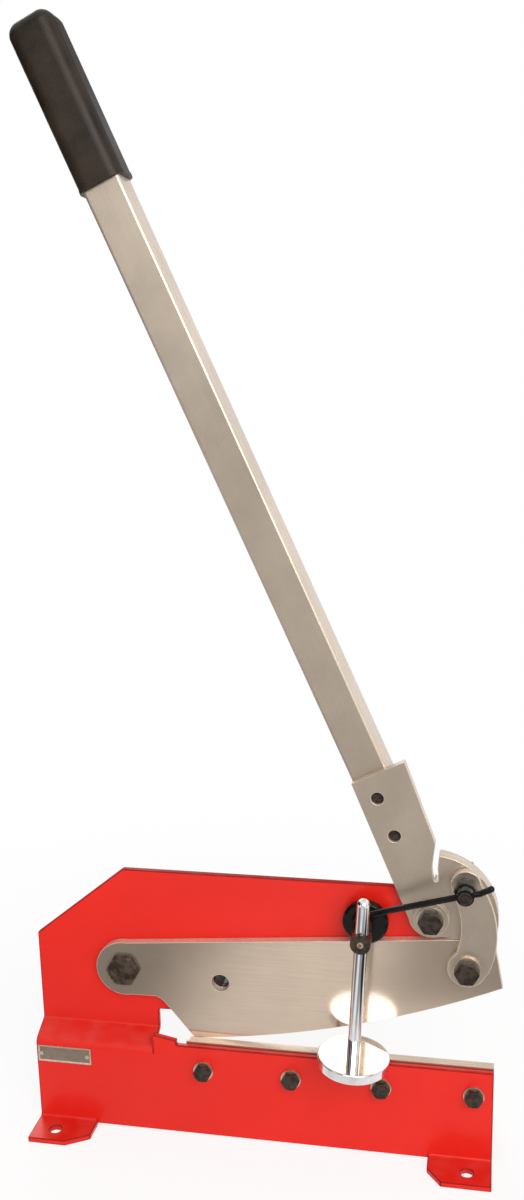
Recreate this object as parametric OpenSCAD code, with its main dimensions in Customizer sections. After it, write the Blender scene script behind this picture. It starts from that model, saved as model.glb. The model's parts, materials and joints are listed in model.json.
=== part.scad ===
// Bench lever shear: a cranked plate frame, a swinging upper blade, a hand lever
// that drives it through a link, and a rod hold-down. Millimetres, +X to the open
// end of the jaw, +Y away from the user, +Z up, origin on the bench in the middle
// of the four bench bolts.

/* [Frame] */
// Width of the frame and of its lower jaw
frame_w = 464; // [450:1:490]
// Height of the upper frame plate above the bench
frame_h = 278; // [272:1:290]
// Thickness of the frame plate and its feet
plate_t = 6; // [5:0.5:7]
// Inner radius of the bends in the plate
bend_in = 2.5; // [1:0.5:3]
// Height of the lower jaw plate's top edge
jaw_h = 101.5; // [98:0.5:103]
// Gap between the bench and the jaw plate, between the feet
jaw_lift = 3; // [1:0.5:5]
// Height where the plate starts to crank back
crank_low = 94; // [88:1:97]
// Height where the crank ends and the upper plate starts
crank_high = 106; // [104:1:112]
// Width of the cranked neck, left of the throat
neck_w = 126; // [115:1:132]
// Height of the throat, where the upper jaw plate starts
throat_h = 125.5; // [120:0.5:130]
// Width of the sloping upper left corner
corner_w = 94.6; // [70:0.2:110]
// Drop of the sloping upper left corner
corner_drop = 76; // [50:1:85]
// Height of the tab that stands beside the throat
tab_h = 111; // [107:0.5:113]
// Width of that tab, from the throat's edge
tab_w = 24; // [15:1:26]

/* [Feet] */
// How far a foot reaches in front of and behind the upper plate's face
foot_reach = 62; // [58:1:80]
// Width of a foot where it leaves the frame
foot_w = 62; // [50:1:75]
// Diameter of the bench bolt holes
bench_hole_d = 12; // [9:0.5:14]
// Bench bolt's distance from the frame's end
bench_hole_inset = 23.5; // [20:0.5:28]
// Bench bolt's distance from the upper plate's face
bench_hole_y = 45; // [43:0.5:48]
// Width of the cut at the left feet's inner corners
left_cut_w = 23; // [10:1:26]
// Depth of the cut at the left feet's inner corners
left_cut_l = 14; // [10:1:26]
// Width of the cut at the right feet's inner corners
right_cut_w = 14; // [10:1:26]
// Depth of the cut at the right feet's inner corners
right_cut_l = 18; // [10:1:26]
// Height of the rear feet's upright legs and of their gussets
rear_leg_h = 44; // [30:1:48]

/* [Blades] */
// Thickness of both blades
blade_t = 9; // [8:0.5:10]
// Length of the lower blade
lower_blade_l = 305; // [295:1:310]
// Height of the lower blade
lower_blade_h = 50; // [46:1:52]
// How far the lower blade stands above the jaw plate
lower_blade_rise = 2.5; // [1.5:0.5:4]
// Diameter of the lower blade's bolts
blade_bolt_d = 10; // [8:1:12]
// Distance of the outer bolts from the lower blade's ends
blade_bolt_inset = 18.55; // [11.5:0.05:32.5]
// Drop from the lower blade's edge to its bolts
blade_bolt_drop = 27.5; // [24:0.5:32]
// Radius of the curved upper cutting edge
edge_r = 945; // [900:5:1100]
// Radius of the upper blade's rounded end
blade_end_r = 29; // [26:0.5:30]
// Diameter of the round bar hole
bar_hole_d = 18; // [14:0.5:20]
// Wall of the round bar die behind the frame
bar_die_wall = 9; // [6:0.5:10]
// Length of the round bar die
bar_die_l = 20; // [12:1:28]
// Gap between sliding flat faces
slide_gap = 0.3; // [0.2:0.05:0.4]
// Radial clearance of the turning pins
pin_gap = 0.05; // [0.02:0.01:0.09]

/* [Lever] */
// Tilt of the lever at rest, left of upright
lever_tilt = 23.7; // [20:0.1:25]
// Length from the lever's pivot to the top of the grip
lever_l = 881; // [700:1:950]
// Side of the square lever tube
tube_w = 36; // [32:1:38]
// Wall of the lever tube
tube_wall = 3; // [2:0.5:4]
// Height of the tube's lower end above the lever's pivot
tube_start = 78; // [75:1:79]
// Length of the grip
grip_l = 151; // [110:1:180]
// Wall of the grip
grip_wall = 4; // [2:0.5:5]
// Radius of the bracket's hub
hub_r = 21.5; // [19:0.5:22]
// Radius of the raised boss on the hub
hub_boss_r = 17; // [15:0.5:18]
// Height of that boss
hub_boss_t = 6; // [3:0.5:7]
// Height of the bracket's top above the lever's pivot
bracket_h = 151; // [145:1:165]
// Outer radius of the bracket's ear
ear_r = 63; // [61:0.5:65]
// Thickness of the plate welded behind the ear
ear_back_t = 7; // [4:0.5:8]
// Distance from the lever's pivot to the link's upper pin
crank_r = 50; // [48:0.5:51]
// Angle of that pin above level at rest
crank_angle = 50; // [48:0.5:52]

/* [Link] */
// Distance between the link's two pins
link_l = 86; // [85:0.5:88]
// Lean of the link at rest
link_lean = 1.6; // [0:0.1:3]
// Thickness of the link
link_t = 8; // [6:0.5:9]
// Radius of the link's upper eye
link_top_r = 14; // [13:0.5:15]
// Radius of the link's lower eye
link_low_r = 18.5; // [18:0.5:20]
// Bulge of the link's outer edge from its centre line
link_bulge = 28.5; // [24:0.5:30]
// Play of the lower pin in the blade
link_play = 9.3; // [9:0.1:9.8]

/* [Pins and bolts] */
// Diameter of the blade's pivot bolt
blade_pin_d = 20; // [16:1:20]
// Diameter of the lever's pivot bolt and of the link's lower bolt
lever_pin_d = 14; // [12:1:16]
// Diameter of the tube bolts and of the link's upper pin
bolt_d = 12; // [10:1:12]
// Length of the collar on the link's upper pin
crank_collar_l = 8; // [4:0.5:9]
// Diameter of the lower pin's nose in the blade
nose_d = 8; // [6:1:9]
// Thickness of the washers
washer_t = 2.5; // [1.5:0.5:3]

/* [Hold-down] */
// Distance of the stud from the frame's right end
stud_from_end = 124; // [118:1:130]
// Rise of the stud above the upper blade's top edge
stud_rise = 21.5; // [19:0.5:25]
// Diameter of the stud
stud_d = 14; // [12:1:15]
// Distance of the rod in front of the upper plate
rod_reach = 50; // [48:1:60]
// Diameter of the rod
rod_d = 12.5; // [10:0.5:13]
// Lean of the rod at rest
rod_lean = 3.7; // [0:0.1:5]
// Length of the rod above the stud
rod_above = 42; // [30:1:60]
// Height of the foot above the lower blade's edge at rest
pad_rise = 11.7; // [11:0.1:25]
// Radius of the foot
pad_r = 34.5; // [30:0.5:36]
// Thickness of the foot
pad_t = 10; // [5:0.5:12]
// Radius of the black clamp disc
disc_r = 22; // [17:0.5:24]

/* [Safety hook] */
// Diameter of the hook's rod
hook_d = 6; // [5:0.5:6.5]
// Length of the thumb tail
hook_tail = 23; // [18:1:30]

/* [Hidden] */
$fn = 96;

red = [0.86, 0.09, 0.07];
steel = [0.66, 0.61, 0.56];
black = [0.12, 0.11, 0.11];
zinc = [0.75, 0.73, 0.68];
bronze = [0.62, 0.46, 0.22];
chrome = [0.86, 0.86, 0.88];
grip_black = [0.16, 0.14, 0.13];

// The layers, from the upper plate's face towards the user
blade_back = -slide_gap;
blade_front = blade_back - blade_t;
lower_back = blade_front - slide_gap;
lower_front = lower_back - blade_t;
jaw_front = lower_front - plate_t;
link_back = blade_front - slide_gap;
link_front = link_back - link_t;

// Frame
left = -frame_w / 2;
right = frame_w / 2;
neck_x = left + neck_w;
upper_end_r = 25;
bend_top = plate_t + bend_in;
crank_turn = atan(-jaw_front / (crank_high - crank_low));
arc_steps = 10;
tab_slope = 4.5;

// Name plate, bare
label_w = 57;
label_h = 18;
label_t = 1;
label_x = left + 2;
label_z = 70.5;
rivet_r = 1.2;
rivet_inset = 4;

// Pivots
blade_pivot_inset = 94;
blade_pivot_z = 173.5;
lever_pivot_inset = 62;
blade_pivot = [left + blade_pivot_inset, blade_pivot_z];
lever_pivot = [right - lever_pivot_inset, frame_h - upper_end_r];
crank = lever_pivot + crank_r * [cos(crank_angle), sin(crank_angle)];
link_foot = crank + link_l * [sin(link_lean), -cos(link_lean)];

// Lower blade
lower_blade_top = jaw_h + lower_blade_rise;
lower_blade_x = right - lower_blade_l;
blade_bolt_z = lower_blade_top - blade_bolt_drop;
blade_bolt_pitch = (lower_blade_l - 2 * blade_bolt_inset) / 3;
blade_bolt_x = [for (i = [-1.5:1.5]) right - lower_blade_l / 2 + i * blade_bolt_pitch];
blind_wall = 1.5;

// Upper blade: corners of its outline and the bar hole
bar_hole_inset = 194;
bar_hole_z = 166;
bar_hole = [left + bar_hole_inset, bar_hole_z];
blade_heel = [left + 165.6, 102.4];
blade_flank = [left + 139.6, 134.5];
blade_shoulder = [left + 133.3, 141.8];
blade_step = [left + 127, 145.6];
blade_toe = link_foot + [34, -21.5];
blade_tip = link_foot + [25, 28.5];
blade_bush_r = blade_pin_d / 2 + 2.5;

// Height of the upper blade's straight top edge at a place along X
function blade_top(x) = let (start = blade_pivot + [0, blade_end_r])
    start[1] + (x - start[0]) * (blade_tip[1] - start[1]) / (blade_tip[0] - start[0]);

stud_x = right - stud_from_end;
stud = [stud_x, blade_top(stud_x) + stud_rise];

// Fasteners
low_head_h = 6;
thin_washer_t = 1.5;
bolt_overhang = 3;
neck_d = 8;

// Lever
hub_front = blade_front - hub_boss_t;
hub_washer_back = hub_front - slide_gap;
hub_washer_front = hub_washer_back - thin_washer_t;
hub_bush_r = lever_pin_d / 2 + 2;
ear_low_angle = -12;
ear_high_angle = 86;
web_angle = -70;
web_l = 33;
web_gap = 1.5;
doubler_gap = 5;
tube_bolt_low = 87;
tube_bolt_high = 127;
tube_shift = 0.5;
tube_corner_in = 1;
tube_back = blade_back + tube_w;
tube_mid = blade_back + tube_w / 2;
tube_bolt_sink = 3.5;
grip_top_gap = 4;
tube_top = lever_l - grip_wall - grip_top_gap;
grip_corner_r = tube_wall + 2.25 * grip_wall;

// Safety hook, on the neck of the crank pin
crank_collar_r = bolt_d / 2 + 2;
crank_head_back = link_front - slide_gap - crank_collar_l;
crank_head_front = crank_head_back - head_h(bolt_d);
hook_boss_r = 8;
hook_boss_l = 11;
hook_y = crank_head_front - slide_gap - hook_boss_l / 2;
retainer_y = hook_y - hook_boss_l / 2 - slide_gap;
retainer_t = 2;
retainer_r = 6.5;

// Hold-down clamp
disc_t = 7;
disc_edge = 2.5;
disc_front = blade_front - slide_gap - disc_t;
spacer_r = 14;
eye_r = rod_d / 2 + 3.3;
screw_r = 3;
pad_edge = 0.8;
pad_drop = (stud[1] - lower_blade_top - pad_rise - pad_t) / cos(rod_lean);
hook_gap = 0.5;
hook_disc_gap = 0.8;
hook_bend_r = stud_d / 2 + hook_gap + hook_d / 2;
hook_bend_y = disc_front - hook_disc_gap - hook_d / 2;
hook_drop = 6;
wire_swell = 0.06;

// Standard proportions of the hexagon fasteners
function across_flats(d) = d < 14 ? 1.5 * d + 1 : 1.5 * d;
function head_h(d) = 0.64 * d;
function nut_h(d) = 0.8 * d;
function washer_r(d) = 0.85 * d + 1.6;

// A plate lying in the XZ plane
module plate_xz(y_front, y_back)
    translate([0, y_back, 0]) rotate([90, 0, 0]) linear_extrude(y_back - y_front) children();

// A round bar along Y
module bar_y(at, y_front, y_back, r)
    translate([at[0], y_back, at[1]]) rotate([90, 0, 0]) cylinder(r = r, h = y_back - y_front);

// A bore that passes through both ends of the bar that it cuts
module bore_y(at, y_front, y_back, r) bar_y(at, y_front - 1, y_back + 1, r);

module ring_y(at, y_front, y_back, r_in, r_out)
    difference() {
        bar_y(at, y_front, y_back, r_out);
        bore_y(at, y_front, y_back, r_in);
    }

// Hexagon with its corners chamfered at the end that faces the user, or at the back
module hex_y(at, y_front, y_back, flats, to_user = true) {
    h = y_back - y_front;
    corner = flats / cos(30) / 2;
    chamfer = flats / 15;
    translate([at[0], to_user ? y_back : y_front, at[1]]) rotate([to_user ? 90 : -90, 0, 0])
        intersection() {
            cylinder(r = corner, h = h, $fn = 6);
            union() {
                cylinder(r = corner + 1, h = h - chamfer);
                translate([0, 0, h - chamfer])
                    cylinder(r1 = corner + 0.2, r2 = corner + 0.2 - 2 * chamfer, h = chamfer);
            }
        }
}

// A nut behind a plate
module nut_y(at, y_front, d)
    difference() {
        hex_y(at, y_front, y_front + nut_h(d), across_flats(d), false);
        bore_y(at, y_front, y_front + nut_h(d), d / 2);
    }

// The lever's own frame: X to its right, Z along it
module on_lever()
    translate([lever_pivot[0], 0, lever_pivot[1]]) rotate([0, -lever_tilt, 0]) children();

// The rod's own frame: Z along it, from the stud's axis
module on_rod() translate([stud[0], -rod_reach, stud[1]]) rotate([0, rod_lean, 0]) children();

module rounded_square(w, r) {
    square([w - 2 * r, w], center = true);
    square([w, w - 2 * r], center = true);
    for (x = [-1, 1], y = [-1, 1])
        translate([x * (w / 2 - r), y * (w / 2 - r)]) circle(r = r, $fn = 48);
}

// A round wire between two points, with a ball at each end
module wire(from, to) {
    v = to - from;
    l = norm(v);
    translate(from) rotate([0, acos(v[2] / l), atan2(v[1], v[0])])
        cylinder(d = hook_d, h = l, $fn = 48);
    for (end = [from, to]) translate(end) sphere(d = hook_d + wire_swell, $fn = 48);
}

// Bent sheet: the sector of a ring between two angles, less than 100 degrees apart
module bend(centre, from, to)
    translate(centre) intersection() {
        difference() {
            circle(r = bend_top);
            circle(r = bend_in);
        }
        polygon([
            [0, 0],
            for (a = [from, (from + to) / 2, to]) 2 * bend_top * [cos(a), sin(a)]
        ]);
    }

// Points along an arc
function arc(centre, r, from, to) = [
    for (i = [0:arc_steps]) let (a = from + (to - from) * i / arc_steps) centre + r * [cos(a), sin(a)]
];

// Side profile of the cranked plate, down its front and up its back: Y to the right, Z up
module crank_profile() {
    tangent = tan(crank_turn / 2);
    upper = [-bend_in, crank_high + bend_in * tangent];
    lower = [lower_front + bend_in, crank_low - bend_top * tangent];
    polygon(concat(
        [[0, frame_h]],
        arc(upper, bend_in, 0, -crank_turn),
        arc(lower, bend_top, 180 - crank_turn, 180),
        [[jaw_front, bend_top], [lower_front, bend_top]],
        arc(lower, bend_in, 180, 180 - crank_turn),
        arc(upper, bend_top, -crank_turn, 0),
        [[plate_t, frame_h]]
    ));
}

// Outline of the neck and the upper plate
module upper_outline() {
    polygon([
        [left, bend_top], [left, frame_h - corner_drop], [left + corner_w, frame_h],
        [lever_pivot[0], frame_h], [lever_pivot[0], frame_h - 2 * upper_end_r],
        [neck_x + 95, throat_h + 2.5], [neck_x, throat_h], [neck_x, bend_top]
    ]);
    translate(lever_pivot) circle(r = upper_end_r);
}

// Outline of the jaw plate, with the tab beside the throat
module jaw_outline()
    polygon([
        [left, bend_top], [left + foot_w, bend_top], [left + foot_w, jaw_lift],
        [right - foot_w, jaw_lift], [right - foot_w, bend_top], [right, bend_top],
        [right, jaw_h], [neck_x + tab_w, jaw_h], [neck_x + tab_w, tab_h - tab_slope],
        [neck_x, tab_h], [neck_x, crank_low - bend_top], [left, crank_low - bend_top]
    ]);

// Side profile of a foot, bent out of its upright leg: outwards to the right, Z up
module foot_profile(reach, leg_top) {
    translate([-plate_t, bend_top]) square([plate_t, leg_top - bend_top]);
    bend([bend_in, bend_top], 180, 270);
    translate([bend_in, 0]) square([reach - bend_in, plate_t]);
}

// One foot: to the front or the back, with its bench bolt hole and cut corner
module foot(side, y_face, toward, leg_top, cut_w, cut_l) {
    inner = right - foot_w;
    difference() {
        intersection() {
            translate([side > 0 ? inner : left, y_face, 0]) mirror([0, toward < 0 ? 1 : 0, 0])
                rotate([90, 0, 90]) linear_extrude(foot_w)
                    foot_profile(foot_reach - toward * y_face, leg_top);
            linear_extrude(leg_top) mirror([side < 0 ? 1 : 0, 0]) mirror([0, toward < 0 ? 1 : 0])
                polygon([
                    [right, -foot_reach], [right, foot_reach], [inner + cut_w, foot_reach],
                    [inner, foot_reach - cut_l], [inner, -foot_reach]
                ]);
        }
        translate([side * (right - bench_hole_inset), toward * bench_hole_y, -1])
            cylinder(d = bench_hole_d, h = plate_t + 2);
    }
}

module frame_plate() color(red) difference() {
    union() {
        intersection() {
            translate([left, 0, 0]) rotate([90, 0, 90]) linear_extrude(frame_w) crank_profile();
            plate_xz(jaw_front - 1, plate_t + 1) upper_outline();
        }
        plate_xz(jaw_front, lower_front) jaw_outline();
        foot(-1, jaw_front, -1, bend_top + 1, left_cut_w, left_cut_l);
        foot(1, jaw_front, -1, bend_top + 1, right_cut_w, right_cut_l);
    }
    for (x = blade_bolt_x) bore_y([x, blade_bolt_z], jaw_front, lower_front, blade_bolt_d / 2);
    bore_y(blade_pivot, 0, plate_t, blade_pin_d / 2);
    bore_y(lever_pivot, 0, plate_t, lever_pin_d / 2);
    bore_y(bar_hole, 0, plate_t, bar_hole_d / 2);
    bore_y(stud, 0, plate_t, stud_d / 2 + pin_gap);
}

module rear_foot_left() color(red)
    foot(-1, lower_front + plate_t, 1, rear_leg_h, left_cut_w, left_cut_l);

module rear_foot_right() color(red)
    foot(1, lower_front + plate_t, 1, rear_leg_h, right_cut_w, right_cut_l);

// Webs that stiffen the rear feet, with their inner corners clear of the bends
module rear_gussets() color(red) {
    face = lower_front + plate_t;
    tip = foot_reach - left_cut_l;
    corner = bend_in + 2;
    for (x = [left, right - plate_t])
        translate([x, 0, 0]) rotate([90, 0, 90]) linear_extrude(plate_t)
            polygon([
                [face, plate_t + corner], [face, rear_leg_h], [face + 6, rear_leg_h],
                [tip, plate_t + 3], [tip, plate_t], [face + corner, plate_t]
            ]);
}

module lower_blade() color(steel) difference() {
    translate([lower_blade_x, lower_front, lower_blade_top - lower_blade_h])
        cube([lower_blade_l, blade_t, lower_blade_h]);
    for (x = blade_bolt_x)
        bar_y([x, blade_bolt_z], lower_front - 1, lower_back - blind_wall, blade_bolt_d / 2);
}

module lower_blade_bolts() color(black)
    for (x = blade_bolt_x) {
        at = [x, blade_bolt_z];
        head_back = jaw_front - washer_t;
        bar_y(at, head_back, lower_back - blind_wall, blade_bolt_d / 2);
        hex_y(at, head_back - head_h(blade_bolt_d), head_back, across_flats(blade_bolt_d));
    }

module lower_blade_washers() color(zinc)
    for (x = blade_bolt_x)
        ring_y([x, blade_bolt_z], jaw_front - washer_t, jaw_front, blade_bolt_d / 2, washer_r(blade_bolt_d));

// Places of the name plate's rivets
rivets = [for (x = [rivet_inset, label_w - rivet_inset]) [label_x + x, label_z + label_h / 2]];

module name_plate() color(zinc) difference() {
    translate([label_x, jaw_front - label_t, label_z]) cube([label_w, label_t, label_h]);
    for (at = rivets) bore_y(at, jaw_front - label_t, jaw_front, rivet_r);
}

module plate_rivets() color(zinc)
    for (at = rivets) {
        bar_y(at, jaw_front - label_t, jaw_front, rivet_r);
        bar_y(at, jaw_front - label_t - rivet_r / 2, jaw_front - label_t, rivet_r * 1.8);
    }

module bar_die() color(black)
    ring_y(bar_hole, plate_t, plate_t + bar_die_l, bar_hole_d / 2, bar_hole_d / 2 + bar_die_wall);

// Blade pivot: a low headed bolt, with a washer and a nut behind the frame
module blade_pivot_bolt() color(black) {
    head_back = blade_front - slide_gap;
    bar_y(blade_pivot, head_back, plate_t + washer_t + nut_h(blade_pin_d) + bolt_overhang, blade_pin_d / 2);
    hex_y(blade_pivot, head_back - low_head_h, head_back, across_flats(blade_pin_d));
}

module blade_pivot_washer() color(zinc)
    ring_y(blade_pivot, plate_t, plate_t + washer_t, blade_pin_d / 2, washer_r(blade_pin_d));

module blade_pivot_nut() color(black) nut_y(blade_pivot, plate_t + washer_t, blade_pin_d);

// Lever pivot: a bolt through the bracket's hub and the frame
module lever_pivot_bolt() color(black) {
    bar_y(lever_pivot, hub_washer_front, plate_t + washer_t + nut_h(lever_pin_d) + bolt_overhang,
        lever_pin_d / 2);
    hex_y(lever_pivot, hub_washer_front - head_h(lever_pin_d), hub_washer_front, across_flats(lever_pin_d));
}

module lever_pivot_washer() color(zinc)
    ring_y(lever_pivot, hub_washer_front, hub_washer_back, lever_pin_d / 2, washer_r(lever_pin_d));

module lever_back_washer() color(zinc)
    ring_y(lever_pivot, plate_t, plate_t + washer_t, lever_pin_d / 2, washer_r(lever_pin_d));

module lever_pivot_nut() color(black) nut_y(lever_pivot, plate_t + washer_t, lever_pin_d);

// Outline of the upper blade: heel, curved edge, and toe beyond the link
module blade_outline() {
    half = norm(blade_toe - blade_heel) / 2;
    along = (blade_toe - blade_heel) / (2 * half);
    edge_centre = (blade_toe + blade_heel) / 2 + sqrt(edge_r * edge_r - half * half) * [-along[1], along[0]];
    intersection() {
        polygon([
            blade_pivot + (blade_end_r - 0.5) * [0, 1], blade_tip, 2 * blade_toe - blade_tip,
            2 * blade_heel - blade_flank, blade_flank, blade_shoulder, blade_step,
            blade_pivot + (blade_end_r - 0.5) * [0.1, -0.99]
        ]);
        translate(edge_centre) circle(r = edge_r, $fn = 720);
    }
}

module upper_blade() color(steel) difference() {
    union() {
        plate_xz(blade_front, blade_back) blade_outline();
        bar_y(blade_pivot, blade_front, blade_back, blade_end_r);
    }
    bore_y(blade_pivot, blade_front, blade_back, blade_bush_r);
    bore_y(bar_hole, blade_front, blade_back, bar_hole_d / 2);
    // Blind seat of the link's lower pin
    bar_y(link_foot, blade_front - 1, blade_back - blind_wall, nose_d / 2 + link_play);
}

module blade_bush() color(bronze)
    ring_y(blade_pivot, blade_front, blade_back, blade_pin_d / 2 + pin_gap, blade_bush_r);

// Outline of the link's curved web, hanging from its upper pin
module web_outline() {
    outer_r = 97;
    inner_r = 78;
    inner_x = -5.2;
    difference() {
        intersection() {
            polygon([
                [-10, -8], [4.5, 12], [17, 2], [link_bulge + 9, -link_l / 2], [link_bulge, 5 - link_l],
                [12, -12 - link_l], [-6, -12 - link_l], [-14, 9 - link_l]
            ]);
            translate([link_bulge - outer_r, -link_l / 2 - 7]) circle(r = outer_r);
        }
        translate([inner_x - inner_r, -link_l / 2]) circle(r = inner_r);
    }
}

module link_plate() color(steel) difference() {
    union() {
        plate_xz(link_front, link_back) translate(crank) rotate(link_lean) web_outline();
        bar_y(crank, link_front, link_back, link_top_r);
        bar_y(link_foot, link_front, link_back, link_low_r);
    }
    bore_y(crank, link_front, link_back, bolt_d / 2 + pin_gap);
    bore_y(link_foot, link_front, link_back, lever_pin_d / 2);
}

module link_pin() color(black) {
    head_back = link_front - washer_t;
    bar_y(link_foot, head_back, link_back, lever_pin_d / 2);
    bar_y(link_foot, link_back, blade_back - 2 * blind_wall, nose_d / 2);
    hex_y(link_foot, head_back - head_h(lever_pin_d), head_back, across_flats(lever_pin_d));
}

module link_washer() color(zinc)
    ring_y(link_foot, link_front - washer_t, link_front, lever_pin_d / 2, washer_r(lever_pin_d));

// The ear: a sector of a disc about the lever's pivot
module ear(y_front, y_back)
    intersection() {
        bar_y(lever_pivot, y_front, y_back, ear_r);
        plate_xz(y_front - 1, y_back + 1) translate(lever_pivot)
            polygon([
                [0, 0],
                for (a = [ear_low_angle, (ear_low_angle + ear_high_angle) / 2, ear_high_angle])
                    2 * ear_r * [cos(a), sin(a)]
            ]);
    }

// Corners of the web that joins the hub to the ear, just above the upper blade's top edge
function web_points() = let (x = lever_pivot[0] + web_l) [
    lever_pivot,
    lever_pivot + hub_r * [cos(web_angle), sin(web_angle)],
    [x, blade_top(x) + web_gap],
    lever_pivot + crank_r * [cos(ear_low_angle), sin(ear_low_angle)]
];

// Relief slot between the bracket's shank and its ear, through both ends of what it cuts
module relief_slot(y_front, y_back)
    plate_xz(y_front - 1, y_back + 1) translate(lever_pivot) rotate(lever_tilt) {
        polygon([
            [33.9, 68.3], [25.9, 55.3], [20.2, 45.1], [17, 34.5],
            [22, 33.5], [24.8, 42.9], [30.1, 52.7], [38.1, 65.7]
        ]);
        translate([19.5, 34]) circle(r = 2.55, $fn = 32);
    }

module lever_bracket() color(steel) difference() {
    union() {
        plate_xz(blade_front, blade_back) translate(lever_pivot) rotate(lever_tilt)
            polygon([
                [-17, bracket_h - 1.5], [38, bracket_h], [33, 67], [20, 40], [20, 20],
                [hub_r - 3, 0], [0.6 - hub_r, 0]
            ]);
        bar_y(lever_pivot, blade_front, blade_back, hub_r);
        bar_y(lever_pivot, hub_front, blade_back, hub_boss_r);
        plate_xz(blade_front, blade_back) polygon(web_points());
        ear(blade_front, blade_back);
    }
    relief_slot(blade_front, blade_back);
    bore_y(lever_pivot, hub_front, blade_back, hub_bush_r);
    bore_y(crank, blade_front, blade_back, bolt_d / 2);
    on_lever() for (z = [tube_bolt_low, tube_bolt_high]) bore_y([0, z], blade_front, blade_back, bolt_d / 2);
}

module hub_bush() color(bronze)
    ring_y(lever_pivot, hub_front, blade_back, lever_pin_d / 2 + pin_gap, hub_bush_r);

// Thickening plate behind the ear, clear of the frame plate's rounded end
module ear_doubler() color(steel) difference() {
    ear(blade_back, blade_back + ear_back_t);
    bore_y(lever_pivot, blade_back, blade_back + ear_back_t, upper_end_r + doubler_gap);
    relief_slot(blade_back, blade_back + ear_back_t);
    bore_y(crank, blade_back, blade_back + ear_back_t, bolt_d / 2);
}

module lever_tube() color(steel) difference() {
    on_lever() translate([tube_shift, tube_mid, tube_start])
        linear_extrude(tube_top - tube_start) difference() {
            rounded_square(tube_w, tube_wall);
            rounded_square(tube_w - 2 * tube_wall, tube_corner_in);
        }
    on_lever() for (z = [tube_bolt_low, tube_bolt_high]) bore_y([0, z], blade_back, tube_back, bolt_d / 2);
}

module tube_bolts() color(black) on_lever()
    for (z = [tube_bolt_low, tube_bolt_high]) {
        bar_y([0, z], blade_front + tube_bolt_sink, tube_back, bolt_d / 2);
        hex_y([0, z], tube_back, tube_back + head_h(bolt_d), across_flats(bolt_d), false);
    }

module lever_grip() color(grip_black) on_lever() translate([tube_shift, tube_mid, 0]) {
    grip_w = tube_w + 2 * grip_wall;
    inset = grip_w / 2 - grip_corner_r;
    difference() {
        hull() {
            translate([0, 0, lever_l - grip_l]) linear_extrude(1) rounded_square(grip_w, grip_corner_r);
            for (x = [-inset, inset], y = [-inset, inset])
                translate([x, y, lever_l - grip_corner_r]) sphere(r = grip_corner_r, $fn = 32);
        }
        translate([0, 0, lever_l - grip_l - 1])
            linear_extrude(tube_top - lever_l + grip_l + 1) rounded_square(tube_w, tube_wall);
    }
}

// Upper link pin: a collar against the link, a hexagon, then a neck for the safety hook
module crank_pin() color(black) {
    bar_y(crank, crank_head_back, blade_back + ear_back_t + nut_h(bolt_d) + bolt_overhang, bolt_d / 2);
    bar_y(crank, crank_head_back, crank_head_back + crank_collar_l, crank_collar_r);
    hex_y(crank, crank_head_front, crank_head_back, across_flats(bolt_d));
    bar_y(crank, retainer_y - retainer_t - 1, crank_head_front, neck_d / 2);
}

module crank_nut() color(black) nut_y(crank, blade_back + ear_back_t, bolt_d);

module hook_retainer() color(black)
    ring_y(crank, retainer_y - retainer_t, retainer_y, neck_d / 2, retainer_r);

// Safety hook: a boss on the crank pin, a thumb tail and a rod bent over the stud
module safety_hook() color(black) {
    reach = norm(crank - stud);
    wrap = atan2(crank[1] - stud[1], crank[0] - stud[0]) + acos(hook_bend_r / reach);
    start = [crank[0], hook_y, crank[1]];
    arc_start = [stud[0] + hook_bend_r * cos(wrap), hook_bend_y, stud[1] + hook_bend_r * sin(wrap)];
    arc_end = [stud[0] - hook_bend_r, hook_bend_y, stud[1]];
    tail_bend = start + hook_tail * [0.55, 0, 0.12];
    difference() {
        union() {
            bar_y(crank, hook_y - hook_boss_l / 2, hook_y + hook_boss_l / 2, hook_boss_r);
            wire(start, arc_start);
            wire(start, tail_bend);
            wire(tail_bend, start + hook_tail * [1, 0, 0.35]);
        }
        bore_y(crank, hook_y - hook_boss_l, hook_y + hook_boss_l, neck_d / 2 + pin_gap);
    }
    translate([stud[0], hook_bend_y, stud[1]]) rotate([90, 0, 0]) rotate([0, 0, wrap])
        rotate_extrude(angle = 180 - wrap) translate([hook_bend_r, 0]) circle(d = hook_d, $fn = 48);
    wire(arc_end, arc_end - [0, 0, hook_drop]);
}

// Hold-down clamp: a spacer and a black disc on the frame, and the stud that turns in them
module clamp_spacer() color(black)
    ring_y(stud, blade_front - slide_gap, 0, stud_d / 2 + pin_gap, spacer_r);

module clamp_disc() color(black) difference() {
    union() {
        bar_y(stud, disc_front + disc_edge, blade_front - slide_gap, disc_r);
        translate([stud[0], disc_front + disc_edge, stud[1]]) rotate([90, 0, 0])
            cylinder(r1 = disc_r, r2 = disc_r - disc_edge, h = disc_edge);
    }
    bore_y(stud, disc_front, blade_front, stud_d / 2 + pin_gap);
}

module clamp_washer() color(zinc)
    ring_y(stud, plate_t, plate_t + washer_t, stud_d / 2 + pin_gap, washer_r(stud_d));

module clamp_stud() color(black) difference() {
    union() {
        bar_y(stud, -rod_reach, plate_t + washer_t + slide_gap + nut_h(stud_d) + bolt_overhang, stud_d / 2);
        bar_y(stud, -rod_reach - eye_r, -rod_reach + eye_r, eye_r);
    }
    on_rod() translate([0, 0, -2 * eye_r]) cylinder(r = rod_d / 2 + pin_gap, h = 4 * eye_r);
    bar_y(stud, -rod_reach - eye_r - 1, -rod_reach, screw_r);
}

module clamp_nut() color(black) nut_y(stud, plate_t + washer_t + slide_gap, stud_d);

// Socket screw in the stud's head, its tip against the rod
module clamp_screw() color(black) difference() {
    bar_y(stud, -rod_reach - eye_r - 1, -rod_reach - rod_d / 2 - pin_gap, screw_r);
    hex_y(stud, -rod_reach - eye_r - 2, -rod_reach - eye_r + 0.5, screw_r);
}

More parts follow.
